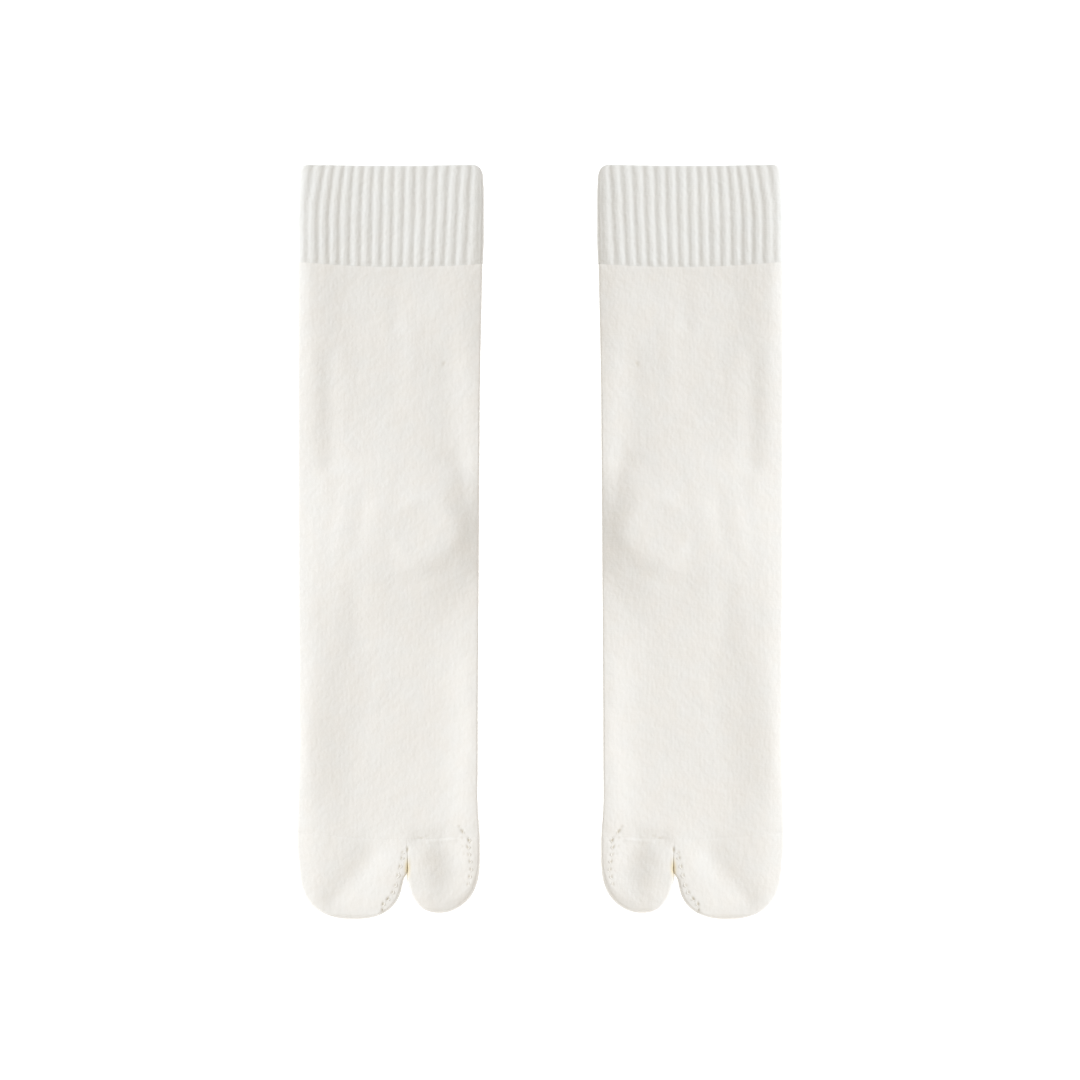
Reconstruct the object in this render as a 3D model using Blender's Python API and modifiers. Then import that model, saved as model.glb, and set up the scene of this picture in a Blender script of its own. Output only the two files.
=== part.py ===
# Pair of knitted tabi socks, lying flat on their soles side by side, the cuffs
# towards +Y and the split toes towards -Y. X = 0 is the mirror plane between the two
# socks, Z = 0 the surface they lie on and Y = 0 the middle of their length.
# The sock at -X fits the right foot: its big toe is on the inner side, next to X = 0.

import math
from collections import namedtuple

import bpy
import numpy as np

MM = 0.001

# Driving dimensions, in millimetres
SOCK_LENGTH = 377.6       # cuff edge to the tip of the four toe pocket
SOCK_CENTRE = 76.0        # each sock's centre line, from X = 0
CUFF_DEPTH = 50.6
TOE_LINE = 337.0          # from the cuff edge to the seam where both pockets start
SEAM_GAP = 0.3            # left between two pieces that are knitted or linked together
WALL = 1.7                # plain knit
RIB_WALL = 2.6            # ribbed knit, at the crest of a rib
RIB_COUNT = 36
RIB_GROOVE = 0.9          # depth between two ribs
RIB_SHOULDERS = (0.0, 0.18, 0.82)   # a groove, then its rib's crest, as shares of the pitch
EDGE_ROLL = 0.7           # how far the folded side edges stand above the middle
ROUND = 2.0               # squareness of a half round fold
FORK_SQUARENESS = 8.0     # of the edges where the two toe pockets lie side by side,
FORK_SQUARE_REACH = 14.0  # easing to round over this distance from the toe line

# Heel pocket, folded flat towards the toes under the sock
HEEL_ROOT = 158.0         # from the cuff edge to where the pocket hangs on the sole
HEEL_REACH = 40.0         # from there to its rounded end
HEEL_HALF_WIDTH = 36.0
HEEL_MOUTH = 37.5         # half the opening in the back of the leg, which it hangs from
HEEL_THICK = 4.2          # two layers with a narrow space between them
HEEL_SLANT = 4.0          # its mouth leans back by this much from bottom to top
HEEL_RISE = HEEL_THICK + SEAM_GAP
HEEL_MARGIN = 6.0         # the sole stays lifted this far beyond the pocket's outline
SOLE_RAMP = 9.0           # then comes down to the floor over this distance
INSTEP_RAMP = 26.0        # the upper layer comes down more gently

# Sections from the cuff edge to the toes. down: distance from the cuff edge;
# outer, inner: the two side edges, from the sock's centre line; thick: both layers
Section = namedtuple("Section", "down outer inner thick")

CUFF = [
    Section(0.0, -43.4, 43.0, 6.2),
    Section(1.6, -45.4, 45.0, 6.6),
    Section(5.0, -46.6, 46.8, 6.8),
    Section(25.0, -46.7, 47.7, 6.8),
    Section(CUFF_DEPTH, -46.3, 47.1, 6.8),
]
LEG_AND_FOOT = [
    Section(CUFF_DEPTH + SEAM_GAP, -46.1, 46.8, 6.0),
    Section(75.0, -46.0, 46.5, 5.8),
    Section(115.0, -46.0, 46.0, 5.7),
    Section(140.0, -46.0, 46.0, 5.8),
    Section(HEEL_ROOT - HEEL_SLANT - SEAM_GAP, -46.0, 46.0, 5.8),
    Section(HEEL_ROOT, -46.0, 46.0, 5.8),
    Section(168.0, -45.9, 45.9, 5.8),
    Section(177.0, -45.9, 45.8, 5.8),
    Section(185.0, -45.9, 45.7, 5.8),
    Section(193.0, -45.8, 45.6, 5.8),
    Section(201.0, -45.8, 45.6, 5.7),
    Section(210.0, -45.8, 45.5, 5.7),
    Section(226.0, -45.7, 45.4, 5.7),
    Section(270.0, -45.7, 45.2, 5.8),
    Section(318.0, -46.0, 45.0, 6.0),
    Section(TOE_LINE - SEAM_GAP, -46.4, 45.9, 6.4),
]
FOUR_TOES = [
    Section(TOE_LINE, -46.4, 8.6, 6.4),
    Section(346.0, -46.0, 8.6, 7.4),
    Section(356.0, -44.9, 8.4, 7.6),
    Section(362.5, -43.5, 6.2, 7.4),
    Section(368.0, -40.5, 3.7, 7.2),
    Section(372.5, -35.5, 0.0, 6.8),
    Section(375.4, -30.5, -5.0, 6.0),
    Section(SOCK_LENGTH, -23.5, -11.5, 4.4),
]
BIG_TOE = [
    Section(TOE_LINE, 8.9, 45.9, 6.4),
    Section(346.0, 8.9, 46.0, 7.4),
    Section(356.0, 8.9, 45.0, 7.4),
    Section(362.0, 10.4, 43.4, 7.2),
    Section(367.0, 12.6, 40.4, 7.0),
    Section(371.0, 15.4, 35.6, 6.2),
    Section(374.2, 21.0, 29.2, 4.4),
]
HEEL = [
    Section(HEEL_ROOT, -HEEL_HALF_WIDTH, HEEL_HALF_WIDTH, HEEL_THICK),
    Section(HEEL_ROOT + 12.0, -34.4, 34.4, HEEL_THICK),
    Section(HEEL_ROOT + 24.0, -28.8, 28.8, HEEL_THICK),
    Section(HEEL_ROOT + 33.0, -20.4, 20.4, HEEL_THICK),
    Section(HEEL_ROOT + 38.0, -11.6, 11.6, 4.0),
    Section(HEEL_ROOT + HEEL_REACH, -5.6, 5.6, 3.2),
]


def clear_scene():
    for old in list(bpy.data.objects):
        bpy.data.objects.remove(old)


def new_collection(name):
    collection = bpy.data.collections.new(name)
    bpy.context.scene.collection.children.link(collection)
    return collection


def cloth_material(name, colour, roughness):
    material = bpy.data.materials.new(name)
    material.use_nodes = True
    shader = material.node_tree.nodes["Principled BSDF"]
    shader.inputs["Base Color"].default_value = (*colour, 1.0)
    shader.inputs["Roughness"].default_value = roughness
    shader.inputs["Metallic"].default_value = 0.0
    return material


def smooth_fall(distance, reach):
    """1 at distance 0 and below, easing to 0 at reach."""
    t = np.clip(distance / reach, 0.0, 1.0)
    return 1.0 - t * t * (3.0 - 2.0 * t)


def beyond_heel(x, down):
    """How far a point lies outside the folded heel pocket's outline, widened by
    HEEL_MARGIN: a straight edge at its root and a half ellipse towards the toes."""
    before_root = np.maximum(HEEL_ROOT - down, 0.0)
    half_width = HEEL_HALF_WIDTH + HEEL_MARGIN
    reach = HEEL_REACH + HEEL_MARGIN
    past_root = np.maximum(down - HEEL_ROOT, 0.0)
    around = np.hypot(x / half_width, past_root / reach)
    return before_root, np.maximum(around - 1.0, 0.0) * min(half_width, reach)


def heel_lift(x, down, ramp, root_ramp):
    """The share, 0 to 1, of the heel pocket's thickness that a layer is lifted by."""
    before_root, around = beyond_heel(x, down)
    return (1.0 - np.clip(before_root / root_ramp, 0.0, 1.0)) * smooth_fall(around, ramp)


def sole_height(x, down):
    return HEEL_RISE * heel_lift(x, down, SOLE_RAMP, HEEL_SLANT)


def instep_lift(x, down):
    before_root, around = beyond_heel(x, down)
    return HEEL_RISE * smooth_fall(np.hypot(before_root, around), INSTEP_RAMP)


def shares_round(flat_steps, turn_steps, half_width, half_height):
    """Where the ring's points lie, as shares of the way round: evenly over each flat
    layer, and evenly round each folded edge."""
    flat = 2.0 * (half_width - half_height)
    turn = math.pi * half_height
    marks = [0.0, flat / 2, flat / 2 + turn, flat * 1.5 + turn, flat * 1.5 + 2 * turn]
    steps = [flat_steps // 2, turn_steps, flat_steps, turn_steps, flat_steps // 2]
    marks.append(2 * flat + 2 * turn)
    runs = [
        np.linspace(start, end, count, endpoint=False)
        for start, end, count in zip(marks, marks[1:], steps)
    ]
    return np.concatenate(runs) / marks[-1]


def flat_tube(shares, half_width, half_height, inner_square=ROUND, outer_square=ROUND):
    """Points and outward normals round a flattened tube's section: two straight layers
    joined by folds. It starts at the middle of the top and goes towards the inner side.
    A fold's squareness is 2 for a half circle and more for a squarer one."""
    flat = 2.0 * (half_width - half_height)
    turn = math.pi * half_height
    way = np.asarray(shares) * 2.0 * (flat + turn)
    x = np.empty_like(way)
    z = np.empty_like(way)
    normal_x = np.zeros_like(way)
    normal_z = np.zeros_like(way)

    top = (way <= flat / 2) | (way >= flat * 1.5 + 2 * turn)
    x[top] = np.where(way[top] <= flat / 2, way[top], way[top] - 2.0 * (flat + turn))
    z[top] = half_height
    normal_z[top] = 1.0
    bottom = (way > flat / 2 + turn) & (way < flat * 1.5 + turn)
    x[bottom] = flat + turn - way[bottom]
    z[bottom] = -half_height
    normal_z[bottom] = -1.0
    folds = [
        ((way > flat / 2) & (way <= flat / 2 + turn), flat / 2, 1.0, inner_square),
        ((way >= flat * 1.5 + turn) & ~top, flat * 1.5 + turn, -1.0, outer_square),
    ]
    for here, start, side, square in folds:
        angle = (way[here] - start) / half_height
        outwards = np.abs(np.sin(angle)) ** (2.0 / square)
        upwards = np.abs(np.cos(angle)) ** (2.0 / square) * np.sign(np.cos(angle))
        x[here] = side * (flat / 2 + half_height * outwards)
        z[here] = side * half_height * upwards
        normal_x[here] = side * np.sin(angle)
        normal_z[here] = side * np.cos(angle)
    return x, z, normal_x, normal_z


def cuff_rings(section):
    """The ribbed outer ring and the plain inner one. Each rib has three points, the
    first of them at the bottom of a groove."""
    ribs = np.arange(RIB_COUNT)[:, None]
    shares = ((ribs + np.array(RIB_SHOULDERS)) / RIB_COUNT).ravel()
    half_width = (section.inner - section.outer) / 2
    half_height = section.thick / 2
    x, z, normal_x, normal_z = flat_tube(shares, half_width, half_height)
    x += (section.inner + section.outer) / 2
    z += half_height
    down = np.full_like(x, section.down)
    groove = RIB_GROOVE * (np.arange(len(shares)) % 3 == 0)
    outer = (x - normal_x * groove, down, z - normal_z * groove)
    inner = (x - normal_x * RIB_WALL, down, z - normal_z * RIB_WALL)
    return outer, inner


def tube_ring(section, flat_steps=14, turn_steps=4):
    half_width = (section.inner - section.outer) / 2
    half_height = section.thick / 2
    shares = shares_round(flat_steps, turn_steps, half_width, half_height)
    x, z, _, _ = flat_tube(shares, half_width, half_height)
    level = (z + half_height) / section.thick
    roll = EDGE_ROLL * np.clip(np.abs(x) / (half_width - half_height), 0.0, 1.0) ** 4
    x += (section.inner + section.outer) / 2
    down = np.full_like(x, section.down)
    low = sole_height(x, down)
    high = section.thick + roll + instep_lift(x, down)
    return x, down, low + level * (high - low)


def pocket_ring(section, fork_side=0.0, slant=0.0, flat_steps=4, turn_steps=4):
    """fork_side is 1 or -1 where the inner or outer edge lies against the other
    pocket: it is square at the toe line and rounds out towards the fork."""
    half_width = (section.inner - section.outer) / 2
    half_height = section.thick / 2
    share = float(smooth_fall(section.down - TOE_LINE, FORK_SQUARE_REACH))
    square = ROUND + (FORK_SQUARENESS - ROUND) * share
    inner_square = square if fork_side > 0 else ROUND
    outer_square = square if fork_side < 0 else ROUND
    shares = shares_round(flat_steps, turn_steps, half_width, half_height)
    x, z, _, _ = flat_tube(shares, half_width, half_height, inner_square, outer_square)
    z += half_height
    x += (section.inner + section.outer) / 2
    lean = slant * (z / section.thick - 1.0)
    return x, section.down + lean, z


def loft(name, rings, side, collection, material, end, missing=()):
    """A skin through the rings. side is -1 for the sock at -X, and 1 for the other,
    which is its mirror image. end is "open", "closed" for a face across the last ring,
    or "turned" where the last ring joins the first. missing lists the (row, i) of the
    faces left out."""
    count = len(rings[0][0])
    points = []
    for x, down, z in rings:
        across = side * (SOCK_CENTRE - x)
        along = SOCK_LENGTH / 2 - down
        points.extend(np.column_stack([across, along, z]) * MM)
    rows = len(rings) if end == "turned" else len(rings) - 1
    faces = []
    for row in range(rows):
        for i in range(count):
            if (row, i) in missing:
                continue
            j = (i + 1) % count
            here, there = row * count, (row + 1) % len(rings) * count
            faces.append((here + i, here + j, there + j, there + i))
    if end == "closed":
        last = (len(rings) - 1) * count
        faces.append(tuple(last + i for i in range(count)))
    if side < 0:
        faces = [face[::-1] for face in faces]
    mesh = bpy.data.meshes.new(name)
    mesh.from_pydata([tuple(map(float, p)) for p in points], [], faces)
    mesh.materials.append(material)
    mesh.shade_smooth()
    mesh.set_sharp_from_angle(angle=math.radians(40.0))
    obj = bpy.data.objects.new(name, mesh)
    collection.objects.link(obj)
    return obj


def give_wall(obj):
    """Turns the skin into a knitted wall, inwards from its outer face."""
    wall = obj.modifiers.new("Wall", "SOLIDIFY")
    wall.thickness = WALL * MM
    wall.offset = -1.0
    wall.use_rim = True


def make_cuff(name, side, collection, material):
    pairs = [cuff_rings(s) for s in CUFF]
    outer = [pair[0] for pair in pairs]
    inner = [pair[1] for pair in reversed(pairs)]
    loft(name, outer + inner, side, collection, material, "turned")


def make_leg_and_foot(name, side, collection, material):
    """The faces left out make the mouth of the heel pocket, across the back."""
    rings = [tube_ring(s) for s in LEG_AND_FOOT]
    row = [s.down for s in LEG_AND_FOOT].index(HEEL_ROOT) - 1
    x, _, z = rings[row]
    low = (z < SEAM_GAP) & (np.roll(z, -1) < SEAM_GAP)
    within = np.maximum(np.abs(x), np.abs(np.roll(x, -1))) < HEEL_MOUTH
    mouth = {(row, int(i)) for i in np.flatnonzero(low & within)}
    give_wall(loft(name, rings, side, collection, material, "open", mouth))


def make_heel(name, side, collection, material):
    slants = [HEEL_SLANT] + [0.0] * (len(HEEL) - 1)
    rings = [pocket_ring(s, slant=lean) for s, lean in zip(HEEL, slants)]
    give_wall(loft(name, rings, side, collection, material, "closed"))


def make_toes(name, sections, fork_side, side, collection, material):
    rings = [pocket_ring(s, fork_side=fork_side) for s in sections]
    give_wall(loft(name, rings, side, collection, material, "closed"))


def make_sock(foot, side, collection, plain, rib):
    make_cuff(f"{foot}_cuff", side, collection, rib)
    make_leg_and_foot(f"{foot}_leg_foot", side, collection, plain)
    make_heel(f"{foot}_heel", side, collection, plain)
    make_toes(f"{foot}_four_toes", FOUR_TOES, 1.0, side, collection, plain)
    make_toes(f"{foot}_big_toe", BIG_TOE, -1.0, side, collection, plain)


def main():
    clear_scene()
    collection = new_collection("tabi_socks")
    plain = cloth_material("plain_knit", (0.80, 0.78, 0.73), 0.95)
    rib = cloth_material("rib_knit", (0.80, 0.79, 0.75), 0.95)
    make_sock("right", -1.0, collection, plain, rib)
    make_sock("left", 1.0, collection, plain, rib)


main()
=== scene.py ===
import math

import bpy
import numpy as np
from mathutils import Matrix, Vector


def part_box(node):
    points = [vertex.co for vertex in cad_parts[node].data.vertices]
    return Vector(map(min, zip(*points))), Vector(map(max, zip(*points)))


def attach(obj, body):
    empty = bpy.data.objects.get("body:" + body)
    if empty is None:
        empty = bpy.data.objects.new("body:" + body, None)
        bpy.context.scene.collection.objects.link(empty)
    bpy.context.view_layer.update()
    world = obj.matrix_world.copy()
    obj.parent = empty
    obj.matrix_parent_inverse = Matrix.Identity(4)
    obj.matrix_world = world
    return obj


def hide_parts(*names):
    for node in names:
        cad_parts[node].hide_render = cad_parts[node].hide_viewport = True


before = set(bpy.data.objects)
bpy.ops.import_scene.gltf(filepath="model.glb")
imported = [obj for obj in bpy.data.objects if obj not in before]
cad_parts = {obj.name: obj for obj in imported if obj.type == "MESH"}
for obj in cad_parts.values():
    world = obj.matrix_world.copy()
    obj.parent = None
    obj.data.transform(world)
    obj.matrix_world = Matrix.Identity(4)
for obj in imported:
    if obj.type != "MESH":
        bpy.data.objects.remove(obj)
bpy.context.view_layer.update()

# Every shape below is worked out in millimetres on one sock: x runs from the outer
# side (-) to the inner, big toe side (+), down from the cuff's edge to the toes, and z
# up from the floor. place() sets it in the frame, once as the right sock at -X and once
# mirrored as the left.
mm = 0.001
sideName = {-1: "right", 1: "left"}
legLow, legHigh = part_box("right_leg_foot")
sockCentre = -(legLow.x + legHigh.x) / 2 / mm
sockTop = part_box("right_cuff")[1].y / mm
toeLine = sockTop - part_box("right_four_toes")[1].y / mm
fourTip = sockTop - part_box("right_four_toes")[0].y / mm
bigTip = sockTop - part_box("right_big_toe")[0].y / mm
heelLow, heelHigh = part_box("right_heel")
heelRoot = sockTop - heelHigh.y / mm + 4.0           # its mouth leans over from here
heelTip = sockTop - heelLow.y / mm
heelHalf = (heelHigh.x - heelLow.x) / 2 / mm
heelThick = 0.82 * heelHigh.z / mm                   # its two layers lie close
seamGap = 0.002            # each piece stops this far from its seam's line
cuffLine = 51.0            # how far down the cuff's seam is, nominally

knit = {
    "wall": 1.6,           # plain knit
    "wales": 144,          # needles round the sock
    "waleWidth": 1.31,
    "courseHeight": 0.9,
    "edgeLevel": 0.45,     # how high the folded edges' outermost line lies, as a share
    "bulge": 1.35,         # how much squarer the folds are sideways than upwards
    "pressed": 0.8,        # how much thinner two layers are where one lies on the other
    "softTurn": 0.5,       # how far from there the upper one starts to turn
    "uneven": [(0.022, 9.0, 11), (0.05, 26.0, 12)],    # height, wavelength, seed
}

# What the flattened sock's sections measure, from the cuff's edge to the toes. Beside
# each folded edge the upper layer stands up in a crest, because folded knit springs open
# there: ridge is how far the crest is above the middle, drop how far the cloth comes
# down again from it to the edge.
formColumns = ["down", "outer", "inner", "thick", "outerRidge", "outerDrop",
               "outerShoulder", "innerRidge", "innerDrop", "innerShoulder"]
form = [
    (0.0, -46.9, 47.2, 5.6, 0.3, 2.0, 7.0, 0.0, 0.8, 12.0),
    (49.0, -46.5, 46.9, 6.1, 1.4, 2.0, 7.5, 0.0, 0.7, 12.0),
    (62.0, -46.4, 46.6, 5.35, 1.6, 1.9, 8.0, 0.0, 0.9, 12.0),
    (75.0, -46.3, 46.3, 5.3, 1.6, 1.8, 8.5, 0.0, 1.0, 12.0),
    (105.0, -46.2, 45.7, 5.2, 1.0, 1.6, 10.5, 0.2, 0.5, 9.0),
    (140.0, -46.2, 45.4, 5.3, 0.3, 1.5, 12.5, 0.4, 0.2, 5.0),
    (180.0, -46.1, 45.2, 5.4, 0.0, 1.3, 14.0, 0.0, 0.3, 5.0),
    (215.0, -46.0, 44.9, 5.0, 0.4, 1.6, 12.5, 0.4, 0.2, 4.0),
    (245.0, -45.9, 44.7, 4.7, 0.9, 1.8, 11.0, 1.3, 0.0, 3.0),
    (298.0, -46.1, 44.5, 4.6, 1.8, 1.8, 7.5, 2.2, 0.0, 3.0),
    (322.0, -46.4, 44.5, 4.8, 1.2, 1.6, 10.5, 2.0, 0.0, 3.0),
    (338.0, -46.7, 45.5, 5.2, 0.8, 1.7, 12.5, 0.7, 0.2, 4.0),
    (356.0, -46.7, 45.3, 5.8, 0.6, 1.6, 12.5, -0.5, 0.7, 5.0),
    (380.0, -46.7, 45.3, 6.4, 0.6, 1.4, 12.5, -0.5, 0.7, 5.0),
]
# How wide the crests' flanks are towards the middle, and how far in the inner one stands.
ridge = {"outerFlank": 14.0, "innerCrest": 2.0, "innerFlank": 10.0}

# The main creases on the upper layer, as soft ridges, and troughs where the height is
# below 0: each is (its run of points (x, down), its half width, its height).
creases = [
    # leg
    ([(-30, 98), (-29, 150)], 5.5, -0.6),
    ([(30, 100), (33, 146)], 8.0, -0.55),
    ([(4, 56), (3, 80)], 4.0, -0.15),
    ([(12, 84), (11, 120)], 5.0, 0.2),
    ([(-3, 80), (0, 98)], 4.0, 0.15),
    ([(-11, 84), (-8, 100)], 4.0, 0.15),
    # round the heel
    ([(-21, 164), (-25, 192)], 4.0, 0.2),
    ([(-12.5, 169), (-14.5, 185)], 4.2, -0.32),
    ([(35.5, 148), (37.5, 166)], 5.0, -0.4),
    ([(40.5, 174), (40.5, 188)], 4.0, -0.25),
    ([(39, 192), (30, 201), (16, 208), (4, 211)], 5.0, -0.3),
    ([(27, 170), (29, 180), (25, 191), (14, 199)], 5.5, 0.25),
    # foot
    ([(-16, 216), (-15.5, 240)], 5.5, -0.25),
    ([(-25, 214), (-25, 240)], 6.0, 0.15),
    ([(-12, 262), (-14, 290)], 6.0, -0.15),
    ([(30, 206), (34, 240)], 6.0, -0.1),
    ([(44, 222), (43, 242)], 8.0, -0.55),
    ([(36.5, 276), (36.5, 292)], 5.0, -0.3),
    # toes
    ([(15, 337), (26, 337)], 4.5, -0.7),
    ([(20, 338.8), (26, 338.6), (33, 337.7)], 0.9, 0.22),
    ([(30.5, 343), (32, 355)], 8.0, -1.2),
    ([(17.5, 347), (20, 363)], 6.0, 0.6),
    ([(10, 344), (6, 356), (-2, 370)], 12.0, 1.0),
    ([(-10, 346), (-15, 353), (-26, 366)], 7.0, -0.95),
    # the linked course at the toe line, on the little toe's side
    ([(-46, 333.8), (-38, 333.9), (-30, 335.0), (-20, 336.3), (-8, 336.9)], 1.0, -0.12),
]

# Open stitches, mostly along the toe pockets, where the maker linked them: each is a
# short slit, (x, down, half its length, which way it points in degrees, how open it is).
openStitches = {
    "depth": 0.7, "halfWidth": 0.55,
    "tint": 0.85,          # how far their shadow shows
    # the gap between the toes: its middle, its half size and how far its painted shade shows
    "fork": (9.35, 352.0), "forkReach": (1.2, 4.0), "forkShadeTint": 1.3,
}
slits = [
    # a pulled stitch on the leg
    (27.2, 99.6, 1.3, 120, 0.32), (28.0, 99.9, 1.0, 120, 0.2),
    # beside the big toe
    (35.2, 331.0, 0.8, 50, 0.3), (36.8, 333.6, 1.5, 55, 0.9), (40.1, 338.0, 1.5, 70, 0.85),
    (39.6, 341.6, 1.2, 60, 0.65), (39.9, 345.2, 1.0, 60, 0.4), (40.6, 348.7, 1.0, 75, 0.6),
    (41.0, 352.6, 1.0, 80, 0.5), (40.4, 356.2, 1.0, 95, 0.5), (39.6, 360.0, 1.0, 110, 0.4),
    (36.6, 336.8, 0.8, 60, 0.2), (36.9, 341.0, 0.8, 50, 0.2), (37.6, 344.8, 0.8, 55, 0.15),
    # where the big toe's pocket starts
    (16.2, 336.9, 1.3, 5, 0.3), (19.6, 335.9, 0.9, -20, 0.2),
    # the four toes' side of the fork
    (9.4, 342.7, 1.4, 95, 0.7), (6.9, 344.2, 1.0, 100, 0.4), (6.6, 346.8, 1.0, 100, 0.6),
    (5.6, 351.0, 1.2, 105, 0.6), (4.6, 355.4, 0.9, 110, 0.4), (3.3, 360.4, 0.9, 115, 0.4),
    (1.9, 363.9, 1.0, 125, 0.5), (-0.4, 367.2, 1.2, 120, 0.8), (-2.8, 369.8, 1.0, 95, 0.7),
    (-3.0, 372.8, 1.0, 90, 0.7),
]


def seamShade(points):
    # How far each point is tinted: from 0 to 1 with the painted shadow colour in the open
    # stitches, and from 0 to -1 with the painted warm shade down between the toes.
    x, down = points[..., 0], points[..., 1]
    (at, level), (wide, long) = openStitches["fork"], openStitches["forkReach"]
    fork = bell(np.hypot((x - at) / wide, (down - level) / long), 1.0)
    pits = openStitches["tint"] * stitchPits(x, down)
    return np.clip(pits - openStitches["forkShadeTint"] * fork, -1.0, 1.0)


def stitchPits(x, down):
    # How deep each point lies in a slit, from 0 to 1: bells, longer than they are wide.
    total = np.zeros(np.shape(x))
    for at, level, half, heading, share in slits:
        near = np.hypot(x - at, down - level) < 5.0
        byX, byDown = x[near] - at, down[near] - level
        turn = math.radians(heading)
        lengthways = (byX * math.cos(turn) + byDown * math.sin(turn)) / half
        sideways = (byDown * math.cos(turn) - byX * math.sin(turn)) / openStitches["halfWidth"]
        total[near] += share * bell(np.hypot(lengthways, sideways), 1.0)
    return np.clip(total, 0.0, 1.0)


def along(table, name, down, names):
    # A smooth curve through the table's rows: cubic Hermite pieces, with each row's
    # slope taken from its neighbours.
    stations = np.array([row[0] for row in table])
    values = np.array([row[names.index(name)] for row in table])
    slopes = np.gradient(values, stations)
    i = np.clip(np.searchsorted(stations, down) - 1, 0, len(stations) - 2)
    step = stations[i + 1] - stations[i]
    t = np.clip((down - stations[i]) / step, 0.0, 1.0)
    rise = t * t * (3.0 - 2.0 * t)
    start = values[i] + (values[i + 1] - values[i]) * rise
    lean = step * t * (1.0 - t) * (slopes[i] * (1.0 - t) - slopes[i + 1] * t)
    return start + lean


def formAt(name, down):
    # One of the sock's sizes, at any place down it.
    return along(form, name, down, formColumns)


def bell(distance, width):
    # 1 in the middle and 1/e at width: a Gaussian.
    return np.exp(-(distance / width) ** 2)


def easeDown(distance, reach):
    # 1 at distance 0, easing to 0 at reach.
    t = np.clip(distance / reach, 0.0, 1.0)
    return 1.0 - t * t * (3.0 - 2.0 * t)


def awayFrom(run, x, down):
    # Distance from each point to a run of straight stretches.
    best = np.full(np.shape(x), np.inf)
    for (ax, ad), (bx, bd) in zip(run, run[1:]):
        t = ((x - ax) * (bx - ax) + (down - ad) * (bd - ad)) / math.hypot(bx - ax, bd - ad) ** 2
        t = np.clip(t, 0.0, 1.0)
        best = np.minimum(best, np.hypot(x - ax - t * (bx - ax), down - ad - t * (bd - ad)))
    return best


def unevenness(x, down, wavelength, seed, waves=28):
    # A sum of plane waves in random directions, about 1 high.
    x, down = np.broadcast_arrays(x, down)
    dice = np.random.default_rng(seed)
    total = np.zeros(x.shape)
    for _ in range(waves):
        heading = dice.uniform(0.0, 2.0 * math.pi)
        size = 2.0 * math.pi / (wavelength * dice.uniform(0.6, 1.8))
        shift = dice.uniform(0.0, 2.0 * math.pi)
        total += np.cos(size * (x * math.cos(heading) + down * math.sin(heading)) + shift)
    return total / math.sqrt(waves / 2.0)


sole = {
    "rise": heelThick + 0.15,    # how high it lies over the heel pocket
    "flat": 5.0,           # it starts down this far inside the pocket's edge
    "beyond": 7.0,         # and meets the floor this far outside it
    "slant": 13.0,         # how long its ramp at the pocket's root is
    "waves": (0.12, 22.0, 5),    # height, wavelength, seed
}


def soleHeight(x, down):
    # The lower layer lies on the floor, and on the heel pocket where that is folded
    # under it: 1 over the pocket, whose end is half an ellipse, easing to 0 around it.
    past = np.maximum(down - heelRoot, 0.0) / (heelTip - heelRoot)
    outside = (np.hypot(x / heelHalf, past) - 1.0) * heelHalf
    around = easeDown(outside + sole["flat"], sole["flat"] + sole["beyond"])
    before = easeDown(heelRoot - down, sole["slant"])
    height, wavelength, seed = sole["waves"]
    waves = height * (1.0 + unevenness(x, down, wavelength, seed))
    return sole["rise"] * around * before + np.clip(waves, 0.0, 1.0)


instep = {
    "x": 1.0, "down": 180.0,               # the middle of the rise over the heel pocket
    "outer": 54.0, "inner": 50.0, "before": 54.0, "after": 58.0,   # its half sizes
    "rise": 4.1, "end": 1.02,              # its height, and where it ends, as a share
    # how flat the top stays towards the inner edge, and which way that side faces
    "brow": 0.62, "browTurn": 8.0,
}


def instepRise(x, down):
    # A soft dome. Towards the brow its top stays flat and then falls steeply; on the
    # other sides it eases down all the way.
    across, ahead = x - instep["x"], down - instep["down"]
    across = across / np.where(across < 0, instep["outer"], instep["inner"])
    ahead = ahead / np.where(ahead < 0, instep["before"], instep["after"])
    r = np.hypot(across, ahead)
    facing = np.cos(np.arctan2(ahead, across) - math.radians(instep["browTurn"]))
    flat = instep["brow"] * np.clip(facing, 0.0, 1.0) ** 2
    return instep["rise"] * easeDown(r - flat, instep["end"] - flat)


def dropTo(distance, reach):
    # 1 at the edge, falling to 0 at reach as a parabola.
    return np.clip(1.0 - distance / reach, 0.0, 1.0) ** 2


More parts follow.
